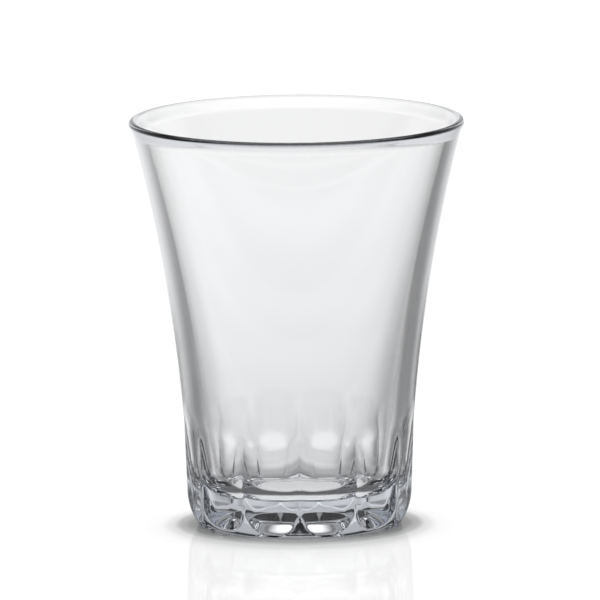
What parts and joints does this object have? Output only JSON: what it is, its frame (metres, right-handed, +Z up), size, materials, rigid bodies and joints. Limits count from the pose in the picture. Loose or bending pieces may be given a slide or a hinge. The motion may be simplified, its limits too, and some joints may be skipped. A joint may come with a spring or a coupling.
{
  "type": "cortado glass",
  "caption": "Small clear pressed-glass tumbler for a cortado: flared wall, rounded rim bead, thick base and a fluted lower band.",
  "frame": {"origin": "centre of the resting ring, in the plane that the glass stands on", "axes": "+Z up along the axis of the glass, towards the rim; a ridge between two flutes faces -Y"},
  "size_m": [0.0672, 0.0672, 0.082],
  "materials": {
    "clear_glass": "polished, clear and colourless"
  },
  "bodies": {
    "root": {"tumbler": "clear_glass"}
  },
  "joints": []
}
